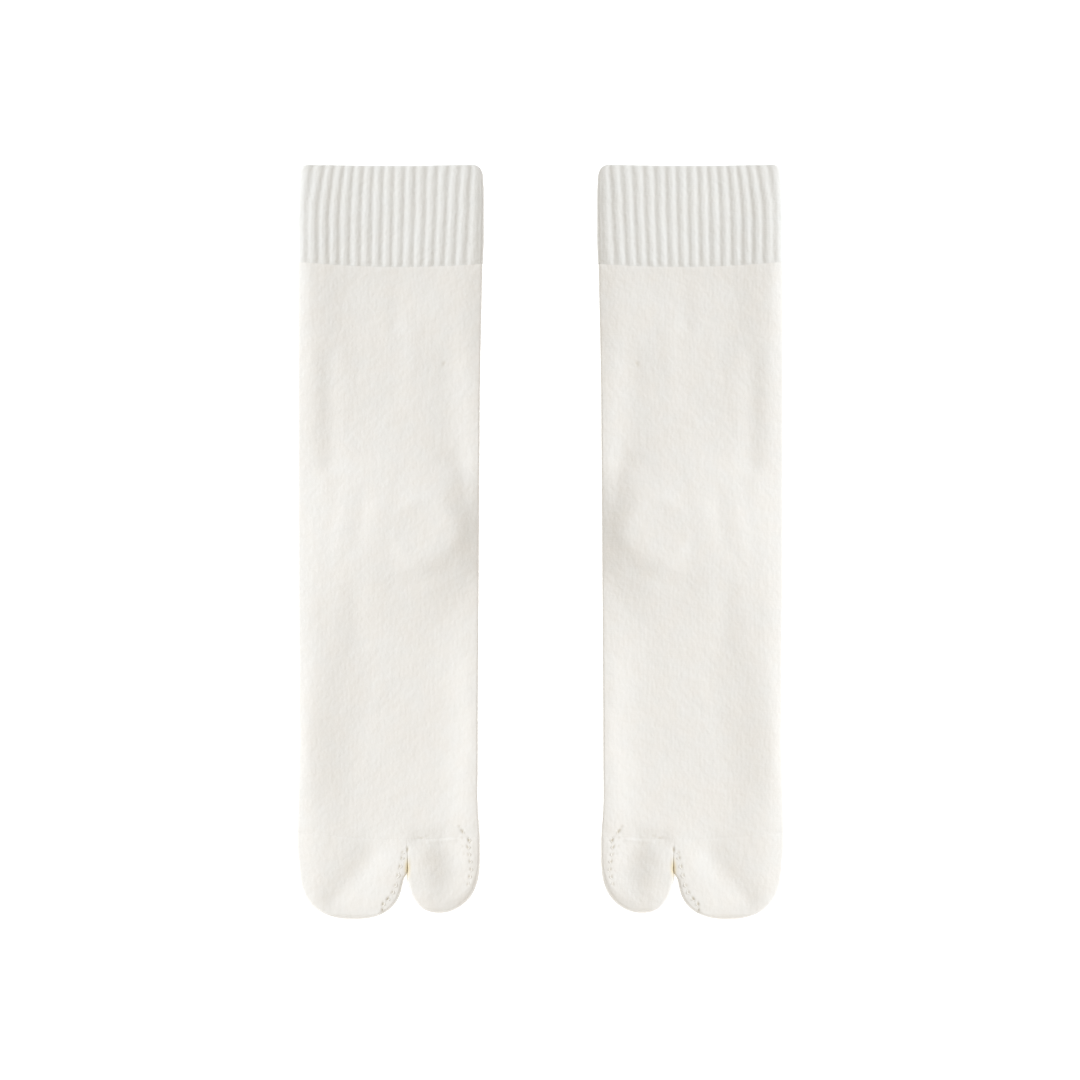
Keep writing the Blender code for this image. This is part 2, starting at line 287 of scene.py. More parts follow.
def topHeight(x, down, outer=None, inner=None):
    # The upper layer's height: the section's thickness, plus a bell for each side's
    # crest, less a parabola down to each edge, plus the instep and the creases. outer
    # and inner are the edges, where they aren't the sock's own.
    outer = formAt("outer", down) if outer is None else outer
    inner = formAt("inner", down) if inner is None else inner
    fromOuter, fromInner = x - outer, inner - x
    crest = formAt("outerShoulder", down)
    outerFlank = np.maximum(fromOuter - crest, 0.0)
    innerFlank = np.maximum(formAt("inner", down) - x - ridge["innerCrest"], 0.0)
    z = formAt("thick", down)
    z = z + formAt("outerRidge", down) * bell(outerFlank, ridge["outerFlank"])
    z = z + formAt("innerRidge", down) * bell(innerFlank, ridge["innerFlank"])
    z = z - formAt("outerDrop", down) * dropTo(fromOuter, crest)
    z = z - formAt("innerDrop", down) * dropTo(fromInner, formAt("innerShoulder", down))
    z = z + instepRise(x, down)
    for run, width, height in creases:
        z = z + height * bell(awayFrom(run, x, down), width)
    # Nowhere lower than the cloth under it, with a soft turn where that shows through.
    least = soleHeight(x, down) + 2.0 * knit["wall"] - knit["pressed"]
    turn = knit["softTurn"]
    z = z + turn * np.log1p(np.exp(np.clip((least - z) / turn, -30.0, 30.0)))
    for height, wavelength, seed in knit["uneven"]:
        z = z + height * unevenness(x, down, wavelength, seed)
    return z - openStitches["depth"] * stitchPits(x, down)


seams = {
    "cuffHang": 0.4, "cuffBow": 2.3, "cuffMiddle": 6.0, "cuffHalf": 50.0,
    "toeHang": 0.4,
    "little": (-9.0, -36.0, 1.2, 3.2),     # at each side, the x where the toe line starts
    "big": (15.0, 30.0, 1.5, 1.0),         # to rise, over what width, its power, how far
    "cuffEase": 20.0, "legEase": 25.0,     # how far off the courses lie straight again
}


def cuffSeam(x):
    # The rib's last course: a parabola, a little lower in the middle of the leg.
    bow = seams["cuffBow"] * ((x - seams["cuffMiddle"]) / seams["cuffHalf"]) ** 2
    return cuffLine + seams["cuffHang"] - bow


def toeSeam(x):
    # The course where the toe pockets start, rising towards both sides.
    course = toeLine + seams["toeHang"]
    for start, width, power, rise in (seams["little"], seams["big"]):
        course = course - rise * np.clip((x - start) / width, 0.0, 1.0) ** power
    return course


def ring(outer, inner, topFolds, lowFolds, square, counts):
    # One flattened loop of cloth a row: x, and the level from 0 at the lower layer to 1
    # at the upper. It runs from the middle of the lower layer round the inner edge, back
    # over the top and round the outer edge. Each edge is two quarter ellipses, whose
    # square is 2 for a round one and more for a boxier one. All sizes are columns of
    # numbers, one a row.
    flat, fold = counts["flat"], counts["fold"]
    half = np.arange(flat // 2) / (flat // 2)
    whole = np.arange(flat) / flat
    turn = math.pi * np.arange(fold) / fold
    level = knit["edgeLevel"]

    def edge(turn, tip, towards, lowFold, topFold, power):
        # Half a loop round one edge, from the lower layer up to the upper one.
        bulge = np.abs(np.sin(turn)) ** (2.0 / (knit["bulge"] * power))
        climb = np.abs(np.cos(turn)) ** (2.0 / power)
        low = turn < math.pi / 2
        width = np.where(low, lowFold, topFold)
        x = tip - towards * width * (1.0 - bulge)
        return x, np.where(low, level * (1.0 - climb), level + (1.0 - level) * climb)

    innerX, innerLevel = edge(turn, inner, 1.0, lowFolds[1], topFolds[1], square[1])
    outerX, outerLevel = edge(math.pi - turn, outer, -1.0, lowFolds[0], topFolds[0], square[0])
    lowInner, lowOuter = inner - lowFolds[1], outer + lowFolds[0]
    topInner, topOuter = inner - topFolds[1], outer + topFolds[0]
    middle = (lowInner + lowOuter) / 2
    rows = len(outer)
    x = np.concatenate([
        middle + (lowInner - middle) * half,
        innerX,
        topInner + (topOuter - topInner) * whole,
        outerX,
        lowOuter + (middle - lowOuter) * half,
    ], axis=1)
    levels = np.concatenate([
        np.zeros((rows, flat // 2)), innerLevel, np.ones((rows, flat)), outerLevel,
        np.zeros((rows, flat // 2)),
    ], axis=1)
    return x, levels


def asColumn(values):
    # One value a row, so that sizes by row combine with places along the row.
    return np.asarray(values, float).reshape(-1, 1)


def keptApart(low, high, least=0.2):
    # The inner sides of two layers, moved apart evenly where they come too close.
    middle, half = (low + high) / 2, np.maximum((high - low) / 2, least / 2)
    return middle - half, middle + half


def knitMap(points, middleWale=None, count=knit["wales"]):
    # Wales are counted round each row by the length of its loop, courses down the sock.
    # The map has one column more than the points, so that it closes without a jump.
    closed = np.concatenate([points, points[:, :1]], axis=1)
    steps = np.hypot(np.diff(closed[..., 0], axis=1), np.diff(closed[..., 2], axis=1))
    way = np.concatenate([np.zeros((len(points), 1)), np.cumsum(steps, axis=1)], axis=1)
    if middleWale is None:
        wale = way / way[:, -1:] * count
    else:
        wale = (way - way[:, -1:] / 2) / knit["waleWidth"] + middleWale
    return np.stack([wale, closed[..., 1] / knit["courseHeight"]], axis=-1)


def place(points, side):
    # From a sock's own millimetres to the frame's metres.
    x, down, z = points[..., 0], points[..., 1], points[..., 2]
    return np.stack([side * (sockCentre - x), sockTop - down, z], axis=-1) * mm


def linked(name, data):
    # A new object in the scene, at the origin.
    obj = bpy.data.objects.new(name, data)
    bpy.context.scene.collection.objects.link(obj)
    return obj


def shaped(name, points, faces, material):
    # A new object with a smooth mesh.
    mesh = bpy.data.meshes.new(name)
    mesh.from_pydata(points, [], faces)
    mesh.materials.append(material)
    mesh.shade_smooth()
    return linked(name, mesh)


def newMaterial(name, finish):
    # A material and its shader, with these settings.
    material = bpy.data.materials.new(name)
    material.use_nodes = True
    shader = material.node_tree.nodes["Principled BSDF"]
    for key, value in finish.items():
        shader.inputs[key].default_value = value
    return material, shader


def skin(part, side, points, uv, shade, material, ends):
    # A closed surface from rows of looped points. With ends "joined" the last row meets
    # the first, as in a tube with a wall; with "poles" the first and last rows are one
    # point each, as in a pocket.
    name = sideName[side] + "_" + part + "_knit"
    rows, columns = points.shape[:2]
    world = place(points, side)
    here = np.arange(rows * columns).reshape(rows, columns)
    mapHere = np.arange(rows * (columns + 1)).reshape(rows, columns + 1)
    if ends == "joined":
        here = np.vstack([here, here[:1]])
        mapHere = np.vstack([mapHere, mapHere[:1]])
        kept = np.arange(rows * columns)
    else:
        kept = np.r_[0, columns:(rows - 1) * columns, rows * columns - 1]
        here = np.clip(here - columns + 1, 0, len(kept) - 1)
        here[0] = 0
    beside = np.roll(here, -1, axis=1)
    quads = np.stack([here[:-1], beside[:-1], beside[1:], here[1:]], axis=-1)
    mapQuads = np.stack([mapHere[:-1, :-1], mapHere[:-1, 1:],
                         mapHere[1:, 1:], mapHere[1:, :-1]], axis=-1)
    bands = [(quads.reshape(-1, 4), mapQuads.reshape(-1, 4))]
    if ends == "poles":
        bands = [(quads[0][:, [0, 2, 3]], mapQuads[0][:, [0, 2, 3]]),
                 (quads[1:-1].reshape(-1, 4), mapQuads[1:-1].reshape(-1, 4)),
                 (quads[-1][:, [0, 1, 2]], mapQuads[-1][:, [0, 1, 2]])]
    if side > 0:
        bands = [(faces[:, ::-1], mapFaces[:, ::-1]) for faces, mapFaces in bands]
    allFaces = [face for faces, _ in bands for face in faces.tolist()]
    piece = shaped(name, world.reshape(-1, 3)[kept].tolist(), allFaces, material)
    corners = np.concatenate([mapFaces.ravel() for _, mapFaces in bands])
    layer = piece.data.uv_layers.new(name="knitMap")
    layer.data.foreach_set("uv", uv.reshape(-1, 2)[corners].astype(np.float32).ravel())
    tint = piece.data.attributes.new("seamShade", "FLOAT", "POINT")
    tint.data.foreach_set("value", shade.ravel()[kept].astype(np.float32))
    return piece


# Two finishes of the same cotton yarn: plain knit, and the cuff's ribs, whose colour is a little
# cooler, and darker as painted shade between the ribs.
plainLook = {
    "colour": (0.803, 0.775, 0.726, 1.0),
    "cool": (0.796, 0.778, 0.738, 1.0),    # where the yarn is a little less yellow
    "shadow": (0.47, 0.40, 0.27, 1.0),     # inside the open stitches
    "fork": (0.78, 0.68, 0.47, 1.0),       # painted warm shade down between the toes
    "finish": {"Roughness": 0.92, "Sheen Weight": 0.25, "Sheen Roughness": 0.6,
               "Specular IOR Level": 0.2},
    "stitch": 0.035,       # how far the V stitches stand up, mm
    "streak": 0.10,        # and the thicker yarn, and the loose fibres
    "fuzz": 0.02,
    "blotch": 0.03,        # share by which the colour wanders
}
ribLook = dict(plainLook, colour=(0.76, 0.748, 0.71, 1.0), cool=(0.757, 0.75, 0.717, 1.0),
               stitch=0.07, streak=0.12, fuzz=0.04)


def addNode(tree, kind, inputs=(), **settings):
    # A node whose inputs are given as (socket, value or another node's output).
    made = tree.nodes.new(kind)
    for key, value in settings.items():
        setattr(made, key, value)
    for slot, value in inputs:
        if hasattr(value, "is_output"):
            tree.links.new(value, made.inputs[slot])
        else:
            made.inputs[slot].default_value = value
    return made


def calc(tree, operation, *values):
    # One step of arithmetic between nodes.
    return addNode(tree, "ShaderNodeMath", enumerate(values), operation=operation).outputs[0]


def fromMiddle(tree, value):
    # 0 halfway between 0 and 1, and 1 at either end.
    return calc(tree, "ABSOLUTE", calc(tree, "MULTIPLY_ADD", value, 2.0, -1.0))


def noise(tree, where, scale, detail):
    # Soft random spots, about 0.5.
    inputs = [("Vector", where), ("Scale", scale), ("Detail", detail)]
    return addNode(tree, "ShaderNodeTexNoise", inputs).outputs[0]


def mixed(tree, share, first, second):
    # The first colour at share 0, the second at 1.
    inputs = [("Factor", share), (6, first), (7, second)]
    return addNode(tree, "ShaderNodeMix", inputs, data_type="RGBA").outputs[2]


def clothMaterial(name, look):
    # Matt cotton with a sheen, whose height and colour follow the knit's own map.
    material, shader = newMaterial(name, look["finish"])
    tree = material.node_tree
    wales = addNode(tree, "ShaderNodeUVMap", uv_map="knitMap").outputs[0]
    split = addNode(tree, "ShaderNodeSeparateXYZ", [(0, wales)])
    wale, course = split.outputs[0], split.outputs[1]
    # V stitches: each wale is two slanting strands, each course a bead along them.
    side = fromMiddle(tree, calc(tree, "FRACT", wale))
    across = calc(tree, "SUBTRACT", 1.0, fromMiddle(tree, side))
    slanted = calc(tree, "FRACT", calc(tree, "MULTIPLY_ADD", side, 0.55, course))
    bead = calc(tree, "SUBTRACT", 1.0, fromMiddle(tree, slanted))
    strand = calc(tree, "POWER", across, 0.6)
    bead = calc(tree, "MULTIPLY_ADD", calc(tree, "POWER", bead, 0.6), 0.6, 0.4)
    stitch = calc(tree, "MULTIPLY", strand, bead)
    # Streaks: yarn that is thicker in some stitches, drawn out along the wales.
    drawn = addNode(tree, "ShaderNodeMapping", [(0, wales), (3, (0.58, 0.33, 1.0))]).outputs[0]
    streak = noise(tree, drawn, 1.0, 1.0)
    # Fuzz: loose fibres, finer than a stitch.
    spot = addNode(tree, "ShaderNodeTexCoord").outputs["Object"]
    fuzz = noise(tree, spot, 2600.0, 2.0)
    height = calc(tree, "MULTIPLY", stitch, look["stitch"])
    height = calc(tree, "MULTIPLY_ADD", streak, look["streak"] * 2.0, height)
    height = calc(tree, "MULTIPLY_ADD", fuzz, look["fuzz"] * 2.0, height)
    bump = addNode(tree, "ShaderNodeBump", [("Height", height), ("Distance", mm)])
    tree.links.new(bump.outputs[0], shader.inputs["Normal"])
    # Colour: a slow wandering of the yarn, with painted shade between strands, painted shadow in
    # the open stitches and painted warm shade down between the toes.
    slow = noise(tree, spot, 45.0, 3.0)
    bright = calc(tree, "MULTIPLY_ADD", slow, look["blotch"], 1.0 - look["blotch"] / 2)
    bright = calc(tree, "MULTIPLY_ADD", stitch, 0.03, bright)
    shift = [(0, noise(tree, spot, 110.0, 2.0)), (1, 0.35), (2, 0.65)]
    shift = addNode(tree, "ShaderNodeMapRange", shift).outputs[0]
    yarn = mixed(tree, shift, look["colour"], look["cool"])
    shade = addNode(tree, "ShaderNodeAttribute", attribute_name="seamShade").outputs["Fac"]
    tone = mixed(tree, shade, yarn, look["shadow"])
    # painted warm shade between the toes, where the tint attribute is below 0
    tone = mixed(tree, calc(tree, "MULTIPLY", shade, -1.0), tone, look["fork"])
    colour = addNode(tree, "ShaderNodeVectorMath", [(0, tone), (3, bright)], operation="SCALE")
    tree.links.new(colour.outputs[0], shader.inputs["Base Color"])
    return material


plainCloth = clothMaterial("plainKnitCotton", plainLook)
ribCloth = clothMaterial("ribKnitCotton", ribLook)
print("finishes made")

# Rows beside a seam stand closer, at these distances from it.
nearSeam = np.array([0.0, 0.03, 0.3, 0.6, 1.0])
tube = {
    "rowStep": 1.2, "toeRowStep": 0.55, "toeRows": 20,   # closer rows where stitches show
    "innerRows": 52, "flat": 118, "fold": 18,
    "outerFold": 1.6, "innerFold": 0.8,                  # how wide the rounded edges are
    "tuck": 0.05,                                        # how far seam edges are drawn in
}


def tubeLoop(nominal, depth):
    # The leg and foot's loops at nominal places down the sock, depth inside the cloth.
    # Each is a flattened ring between the sole's height and the upper layer's.
    nominal, depth = asColumn(nominal), asColumn(depth)
    outer, inner = formAt("outer", nominal), formAt("inner", nominal)
    same = np.ones(nominal.shape)
    folds = tube["outerFold"] * same, tube["innerFold"] * same
    x, level = ring(outer + depth, inner - depth, folds, folds, (2 * same, 2 * same), tube)
    ease = seams["legEase"]
    down = nominal + (cuffSeam(x) - cuffLine) * easeDown(nominal - cuffLine, ease)
    down = down + (toeSeam(x) - toeLine) * easeDown(toeLine - nominal, ease)
    low, high = keptApart(soleHeight(x, down) + depth, topHeight(x, down) - depth)
    return np.stack([x, down, low + level * (high - low)], axis=-1)


def makeLegFoot(side):
    # The outside from the cuff to the toe line, then the inside back again.
    start, end = cuffLine + seamGap, toeLine - seamGap
    fine = end - 1.5 - tube["toeRowStep"] * np.arange(tube["toeRows"])[::-1]
    even = np.arange(start + 1.6, fine[0] - 0.4, tube["rowStep"])
    out = np.concatenate([start + nearSeam, even, fine, end - nearSeam[::-1]])
    away = np.minimum(out - out[0], out[-1] - out)
    back = np.linspace(out[-1] - 0.4, out[0] + 0.4, tube["innerRows"])
    nominal = np.concatenate([out, back])
    depth = np.concatenate([tube["tuck"] * easeDown(away, 1.0), np.full(len(back), knit["wall"])])
    points = tubeLoop(nominal, depth)
    shade = seamShade(points) * (depth[:, None] < knit["wall"])
    return skin("leg_foot", side, points, knitMap(points), shade, plainCloth, "joined")


# The toe and heel pockets. Each one's outline has straight sides to "start", then a
# rounded end, where (past / reach) ** lengthways + (half / halfWidth) ** sideways = 1.
# "fork" says which side of it the other toes lie on: 1 the inner, -1 the outer.
pocketColumns = ["down", "middle", "half", "outerFold", "innerFold", "outerSquare",
                 "innerSquare", "forkDrop"]
fourToes = {
    "node": "four_toes", "root": toeLine, "start": 350.0, "tip": fourTip,
    "lengthways": 2.3, "sideways": 2.5, "columns": (110, 16), "rows": 100, "fork": 1,
    "roundTip": 3.0, "tipDrop": 0.5, "tipShoulder": 8.0,
    "table": [
        (337.0, -18.7, 28.0, 1.6, 0.1, 2.0, 6.0, 0.0),
        (345.0, -18.5, 27.9, 1.6, 0.2, 2.0, 6.0, 0.1),
        (350.0, -18.2, 27.5, 1.6, 0.4, 2.0, 3.0, 0.2),
        (353.0, -18.15, 27.5, 1.6, 0.7, 2.0, 2.5, 0.3),
        (355.0, -18.3, 27.3, 1.6, 0.9, 2.0, 2.3, 0.4),
        (357.0, -18.85, 26.85, 1.6, 1.2, 2.0, 2.2, 0.4),
        (361.0, -18.95, 26.8, 1.6, 1.3, 2.0, 2.0, 0.4),
        (366.0, -18.6, 27.2, 1.7, 1.5, 2.0, 2.0, 0.4),
        (378.0, -17.6, 27.7, 2.2, 2.0, 2.0, 2.0, 0.4),
    ],
}
bigToe = {
    "node": "big_toe", "root": toeLine, "start": 350.0, "tip": bigTip + 0.4,
    "lengthways": 2.0, "sideways": 2.3, "columns": (78, 16), "rows": 100, "fork": -1,
    "roundTip": 3.0, "tipDrop": 1.4, "tipShoulder": 8.0,
    "table": [
        (337.0, 27.15, 18.35, 0.1, 1.0, 6.0, 2.0, 0.0),
        (345.0, 27.4, 18.1, 0.2, 1.2, 6.0, 2.0, 0.1),
        (350.0, 27.4, 18.1, 0.4, 1.4, 3.0, 2.0, 0.2),
        (353.0, 27.35, 18.1, 0.7, 1.6, 2.5, 2.0, 0.3),
        (355.0, 27.05, 18.4, 0.9, 1.7, 2.3, 2.0, 0.3),
        (357.0, 26.9, 18.55, 1.0, 1.8, 2.2, 2.0, 0.3),
        (361.0, 26.8, 18.65, 1.0, 2.0, 2.0, 2.0, 0.3),
        (366.0, 26.4, 18.85, 1.1, 2.2, 2.0, 2.0, 0.3),
        (376.0, 24.8, 18.7, 1.6, 2.4, 2.0, 2.0, 0.3),
    ],
}
heelPocket = {
    "node": "heel", "root": heelRoot, "start": heelRoot, "tip": heelTip,
    "lengthways": 2.0, "sideways": 2.2, "columns": (40, 12), "rows": 50, "fork": 0,
    "roundTip": 4.0, "tipDrop": 0.0, "tipShoulder": 6.0,
    "hollow": (0.15, 15.0, 3),    # height, wavelength, seed
    "table": [(down, 0.0, heelHalf, 4.0, 4.0, 2.0, 2.0, 0.0) for down in (heelRoot, heelTip)],
}
pocketEdge = {
    "rowStep": 0.5,
    "lowFold": 0.8,        # the lower layer's fold, as a share of the upper's width
    "wallTakes": 0.7,      # how much of the wall comes off a fold's width inside it
    "leastFold": 0.4, "mostFold": 0.97,    # narrowest in mm, and widest as a share
    "forkKeeps": 0.7,      # how much less the side by the fork comes down at the tip
    "forkReach": 6.0,      # how wide that side's own drop is
    "seamEase": 9.0,       # how far off the toe line the courses lie straight again
}
surfaces = {}              # the toe pockets' outsides, kept for their threads


def pocketLoop(pocket, turn, nominal, depth):
    # Loops of a pocket: x, down, level, how open the loop still is near the tip, how
    # far its upper side comes down, and the edges for topHeight. turn runs from 0 at
    # "start" to a quarter turn at the tip, and nominal holds the places of the straight
    # rows before it, where turn is 0.
    reach = pocket["tip"] - pocket["start"] - depth
    past = reach * np.sin(turn) ** (2.0 / pocket["lengthways"])
    nominal = np.where(turn > 0, pocket["start"] + past, nominal)
    get = {name: along(pocket["table"], name, nominal, pocketColumns)
           for name in pocketColumns}
    half = (get["half"] - depth) * np.cos(turn) ** (2.0 / pocket["sideways"])
    half = np.where(turn >= math.pi / 2, 0.0, half)
    lean = np.gradient(half[:, 0], nominal[:, 0] + 1e-6 * np.arange(len(half)))
    lean = np.hypot(1.0, np.clip(lean, -6.0, 6.0))[:, None]

    def foldWidth(width):
        # Wider where the outline slants, and never past the middle.
        wide = width - depth * pocketEdge["wallTakes"]
        wide = np.maximum(wide, pocketEdge["leastFold"]) * lean
        most = pocketEdge["mostFold"] * half + 1e-6
        return wide / (1.0 + (wide / most) ** 4) ** 0.25

    folds = foldWidth(get["outerFold"]), foldWidth(get["innerFold"])
    lowFolds = [fold * pocketEdge["lowFold"] for fold in folds]
    counts = {"flat": pocket["columns"][0], "fold": pocket["columns"][1]}
    x, level = ring(get["middle"] - half, get["middle"] + half, folds, lowFolds,
                    (get["outerSquare"], get["innerSquare"]), counts)
    # How far each point is from the rounded end, straight down the sock.
    spread = np.clip(np.abs(x - get["middle"]) / (get["half"] - depth), 0.0, 1.0)
    end = (1.0 - spread ** pocket["sideways"]) ** (1.0 / pocket["lengthways"])
    toEnd = np.maximum(pocket["start"] + reach * end - nominal, 0.0)
    blunt = np.clip(1.0 - (pocket["tip"] - depth - nominal) / pocket["roundTip"], 0.0, 1.0)
    swell = np.sqrt(np.maximum(1.0 - blunt ** 2, 0.0))
    # The linked side by the fork keeps its height nearly to the edge.
    towardsFork = np.clip(pocket["fork"] * (x - get["middle"]) / get["half"], 0.0, 1.0)
    drop = pocket["tipDrop"] * dropTo(toEnd, pocket["tipShoulder"])
    drop = drop * (1.0 - pocketEdge["forkKeeps"] * towardsFork)
    outer, inner = get["middle"] - get["half"], get["middle"] + get["half"]
    far = 200.0            # a side by the fork has none of the sock's own edge
    if pocket["fork"] > 0:
        drop = drop + get["forkDrop"] * dropTo(inner - x, pocketEdge["forkReach"])
        inner = inner + far
    elif pocket["fork"] < 0:
        drop = drop + get["forkDrop"] * dropTo(x - outer, pocketEdge["forkReach"])
        outer = outer - far
    return x, nominal + 0.0 * x, level, swell, drop, (outer, inner)


def pocketRows(pocket):
    # Places and turns of the rows inside, from the tip to the root, and of those
    # outside, back to the tip, which stand three times closer.
    root = pocket["root"] + seamGap
    even = root + nearSeam[:1]
    if pocket["start"] > pocket["root"]:
        straight = np.arange(root + 1.5, pocket["start"] - 0.2, pocketEdge["rowStep"])
        even = np.append(root + nearSeam, straight)
    turns = np.linspace(0.0, math.pi / 2, pocket["rows"])
    out = np.append(even, np.full(len(turns), pocket["start"]))
    outTurn = np.append(np.zeros(len(even)), turns)
    back, backTurn = out[4::3][::-1], outTurn[4::3][::-1]
    back, backTurn = np.append(back, root + 0.4), np.append(backTurn, 0.0)
    backTurn[0] = math.pi / 2
    return (back, backTurn, False), (out, outTurn, True)


def makePocket(pocket, side):
    # A bag of cloth with its wall: toes lie between the sole's height and the upper
    # layer's, and the heel pocket lies flat on the floor under the foot.
    parts = []
    for nominal, turn, isOuter in pocketRows(pocket):
        tuck = tube["tuck"] * easeDown(nominal - pocket["root"] - seamGap, 1.0) * (turn == 0)
        depth = asColumn(tuck if isOuter else np.full(len(nominal), knit["wall"]))
        x, down, level, swell, drop, edges = pocketLoop(pocket, asColumn(turn),
                                                        asColumn(nominal), depth)
        if pocket is heelPocket:
            height, wavelength, seed = pocket["hollow"]
            hollow = height * (1.0 + unevenness(x, down, wavelength, seed))
            low, high = 0.0 * x + depth, heelThick - depth - hollow
        else:
            ease = easeDown(down - pocket["root"], pocketEdge["seamEase"])
            down = down + (toeSeam(x) - toeLine) * ease
            low = soleHeight(x, down) + depth
            high = topHeight(x, down, *edges) - drop - depth
        low, high = keptApart(low, high)
        middle = low + knit["edgeLevel"] * (high - low)
        z = middle + (level - knit["edgeLevel"]) * (high - low) * swell
        parts.append((np.stack([x, down, z], axis=-1), np.full(x.shape, isOuter)))
    points, isOuter = (np.concatenate(rows) for rows in zip(*parts))
    surfaces[sideName[side], pocket["node"]] = parts[1][0]
    middle = np.mean([row[1] for row in pocket["table"]])
    uv = knitMap(points, knit["wales"] / 2 - middle / knit["waleWidth"])
    shade = seamShade(points) * isOuter
    return skin(pocket["node"], side, points, uv, shade, plainCloth, "poles")


# The ribbed cuff.
cuff = {
    "ribs": 36, "columnsPerRib": 12, "rows": 64, "innerRows": 14,
    "edges": (-46.9, 47.5), "thick": 6.2,      # of the loop that the ribs are spread round
    "groove": 0.42,        # how deep a groove is
    "seamFade": (0.35, 1.2), "mouthFade": (0.25, 1.5),   # shallower at the ends: share, reach
    "pitch": 5.3,          # how far apart the grooves stand
    "crest": 0.3, "crestEase": 2.5,    # how far a rib stands above the plain knit
    "wall": 2.5,
    "outerFold": 2.4, "innerFold": 1.8,        # how wide the rounded edges are
    "lip": 1.1,            # how far the rounded mouth reaches down the cuff
    "outerCorner": 3.5, "innerCorner": 6.5,    # the mouth's corners' radius
    "sag": 0.5, "sagReach": 14.0, "sagHalf": 42.0,    # how the mouth hangs in the middle
    "grooveAt": 2.6,       # x of the groove in the middle of the upper layer
    "wander": 0.006,       # how far a groove strays, as a share of the pitch
    "waves": [(1.0, 3.2, 41), (0.6, 14.0, 42)],       # share, wavelength, seed
    "plainOuter": 5.0, "plainInner": 2.5,      # the ribs flatten out this near the folds
}
ribRun = {
    "bend": 23.0,          # the ribs draw together below here, and lean over above it
    "drawReach": 24.0, "leanReach": 19.0,
    "closer": (0.018, 1.2),            # how much closer they stand, and about which x
    "draw": 0.025, "drawAside": 0.65,  # how much closer, and further out, at the seam
    "lean": 0.35,          # how far the middle one leans over at the mouth
    "leanSlope": -0.034, "leanCurve": 0.0026,  # how that changes over the cuff
    "outerLean": 1.1,      # how far the outer ribs stand further in, above the middle
    "outerFrom": -3.0, "outerReach": 32.0,
}
cuffForm = [
    (0.0, -46.9, 46.9), (6.0, -46.9, 47.1), (18.0, -46.9, 47.8), (35.0, -46.8, 47.6),
    (51.5, -46.6, 47.2),
]
cuffColumns = ["down", "outer", "inner"]


def ribRing():
    # One fine flattened ring is measured along its length and its points spread evenly:
    # their x and level, and the phase, which is a whole number in each groove.
    one = np.array([[1.0]])
    folds = cuff["outerFold"] * one, cuff["innerFold"] * one
    fine = {"flat": 600, "fold": 200}
    outer, inner = cuff["edges"]
    x, level = ring(outer * one, inner * one, folds, folds, (2.0 * one, 2.0 * one), fine)
    x, level = np.append(x, x[0, 0]), np.append(level, level[0, 0])
    steps = np.hypot(np.diff(x), cuff["thick"] * np.diff(level))
    way = np.append(0.0, np.cumsum(steps))
    count = cuff["ribs"] * cuff["columnsPerRib"]
    even = np.arange(count) / count * way[-1]
    top = (level > 0.999) & (np.abs(x - cuff["grooveAt"]) < 5.0)
    grooveWay = np.interp(cuff["grooveAt"], x[top][::-1], way[top][::-1])
    phase = (even - grooveWay) / way[-1] * cuff["ribs"]
    return np.interp(even, way, x), np.interp(even, way, level), phase


def cuffEdges(nominal, ribbed):
    # The two side edges, drawn in to quarter circles at the mouth's corners. Inside the
    # cloth the corners stay drawn in further down, so that the lip shows.
    rounding = nominal if ribbed else np.maximum(nominal - 5.0, 0.0) / 2

    def inset(radius):
        return radius - np.sqrt(radius ** 2 - np.maximum(radius - rounding, 0.0) ** 2)

    outer = along(cuffForm, "outer", nominal, cuffColumns) + inset(cuff["outerCorner"])
    inner = along(cuffForm, "inner", nominal, cuffColumns) - inset(cuff["innerCorner"])
    return outer, inner


def drawnIn(x, widest, limit, corner):
    # A row narrower than the widest takes it from its outermost part only, so that the
    # ribs run straight: there x closes on the limit as a power of what is left.
    lost = np.maximum(widest - limit, 0.0)
    past = x - (limit - corner)
    t = np.clip(past / (lost + corner), 0.0, 1.0)
    bent = limit - corner * (1.0 - t) ** ((lost + corner) / corner)
    return np.where(past > 0.0, bent, x)


def ribShift(x, nominal):
    # How far the ribs stand aside: they draw together towards the seam, lean over
    # towards the mouth, and the outer ones stand further in above the middle.
    below = np.clip((nominal - ribRun["bend"]) / ribRun["drawReach"], 0.0, 1.2)
    above = np.clip((ribRun["bend"] - nominal) / ribRun["leanReach"], 0.0, 1.2) ** 2
    lean = ribRun["lean"] * (1.0 + ribRun["leanSlope"] * x + ribRun["leanCurve"] * x ** 2)
    closer, about = ribRun["closer"]
    draw = closer * (x - about) + (ribRun["draw"] * x + ribRun["drawAside"]) * below
    outermost = np.clip((ribRun["outerFrom"] - x) / ribRun["outerReach"], 0.0, 1.0)
    over = outermost * easeDown(nominal - 10.0, 20.0)
    inside = np.clip(1.0 - (x / cuff["edges"][1]) ** 10, 0.0, 1.0)
    return (lean * above - draw + ribRun["outerLean"] * over) * inside


def grooveDepth(phase, down, nominal, fromOuter, fromInner):
    # A raised cosine in each groove, straying a little, and fading at the seam, at the
    # mouth and beside the folds.
    waves = sum(share * unevenness(phase * cuff["pitch"], down, wavelength, seed)
                for share, wavelength, seed in cuff["waves"])
    stray = cuff["wander"] * waves
    inRib = np.abs((phase + stray + 0.5) % 1.0 - 0.5) * 2.0    # 0 in a groove, 1 on a crest
    hollow = (0.5 + 0.5 * np.cos(math.pi * inRib)) ** 1.4
    (seamShare, seamReach), (mouthShare, mouthReach) = cuff["seamFade"], cuff["mouthFade"]
    fade = easeDown(cuffLine - 0.2 - nominal, seamReach) * seamShare
    fade = fade + easeDown(nominal, mouthReach) * mouthShare
    plain = easeDown(fromOuter, cuff["plainOuter"]) + easeDown(fromInner, cuff["plainInner"])
    return cuff["groove"] * hollow * (1.0 - fade) * np.clip(1.0 - plain, 0.0, 1.0)


